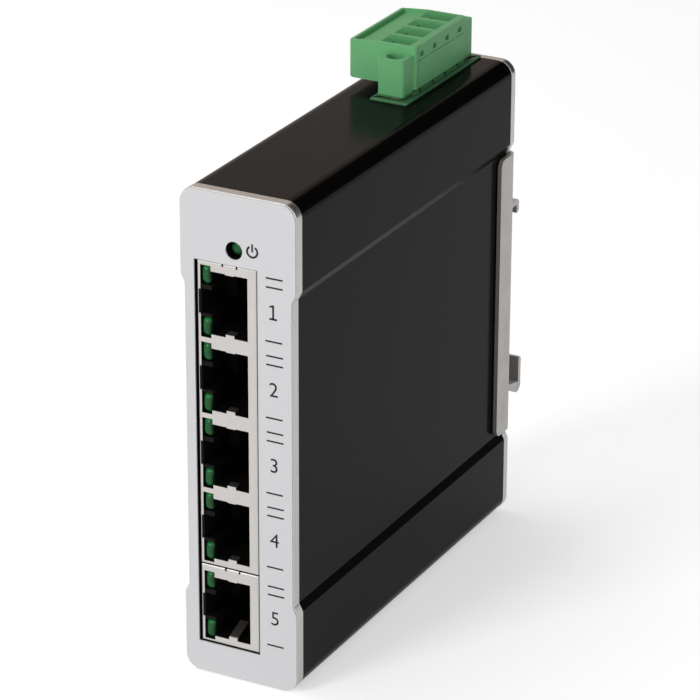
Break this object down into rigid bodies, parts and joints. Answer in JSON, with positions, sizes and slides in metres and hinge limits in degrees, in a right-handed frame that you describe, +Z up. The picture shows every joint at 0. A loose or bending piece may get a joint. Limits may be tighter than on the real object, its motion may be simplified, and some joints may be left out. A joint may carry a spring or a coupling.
{
  "type": "din rail ethernet switch",
  "caption": "Slim industrial network switch: black extruded case, silver front with a column of jacks, plug-in supply terminal on top and a sheet rail bracket behind.",
  "frame": {"origin": "middle of the case's flat underside", "axes": "+Z up, -Y out of the front face, +X to the right seen from the front"},
  "size_m": [0.0222, 0.0898, 0.0993],
  "materials": {
    "black_anodised": "satin black anodised",
    "silver_sheet": "satin pale grey",
    "plate_metal": "satin",
    "rail_steel": "satin plated",
    "screw_steel": "plated",
    "tin": "satin tin plate",
    "black_moulding": "matt",
    "gold_contact": "gold plated",
    "green_lens": "clear green lens",
    "green_moulding": "satin green",
    "pin_metal": "tin plated",
    "board_green": "solder mask",
    "chip_black": "matt",
    "can_metal": "satin"
  },
  "bodies": {
    "case": {"housing": "black_anodised", "front_plate": "plate_metal", "front_sheet": "silver_sheet", "rear_plate": "plate_metal", "case_screws": "screw_steel", "rail_bracket": "rail_steel", "bracket_rivets": "screw_steel", "gang_jack_shield": "tin", "gang_jack_insert": "black_moulding", "gang_jack_contacts": "gold_contact", "gang_jack_lamps": "green_lens", "single_jack_shield": "tin", "single_jack_insert": "black_moulding", "single_jack_contacts": "gold_contact", "single_jack_lamps": "green_lens", "power_lamp": "green_lens", "power_lamp_spacer": "black_moulding", "supply_header": "green_moulding", "header_pins": "pin_metal", "flange_nuts": "gold_contact", "circuit_board": "board_green", "switch_chip": "chip_black", "magnetics": "chip_black", "crystal": "can_metal", "capacitor": "can_metal", "inductor": "chip_black", "regulator": "chip_black"},
    "plug": {"supply_plug": "green_moulding", "clamp_screws": "screw_steel", "clamp_cages": "screw_steel", "pin_sockets": "pin_metal", "flange_screws": "screw_steel"}
  },
  "joints": [
    {"name": "plug_pull", "type": "slide", "parent": "case", "child": "plug", "axis": [0, 0, 1], "range_m": [0, 0.012]}
  ]
}
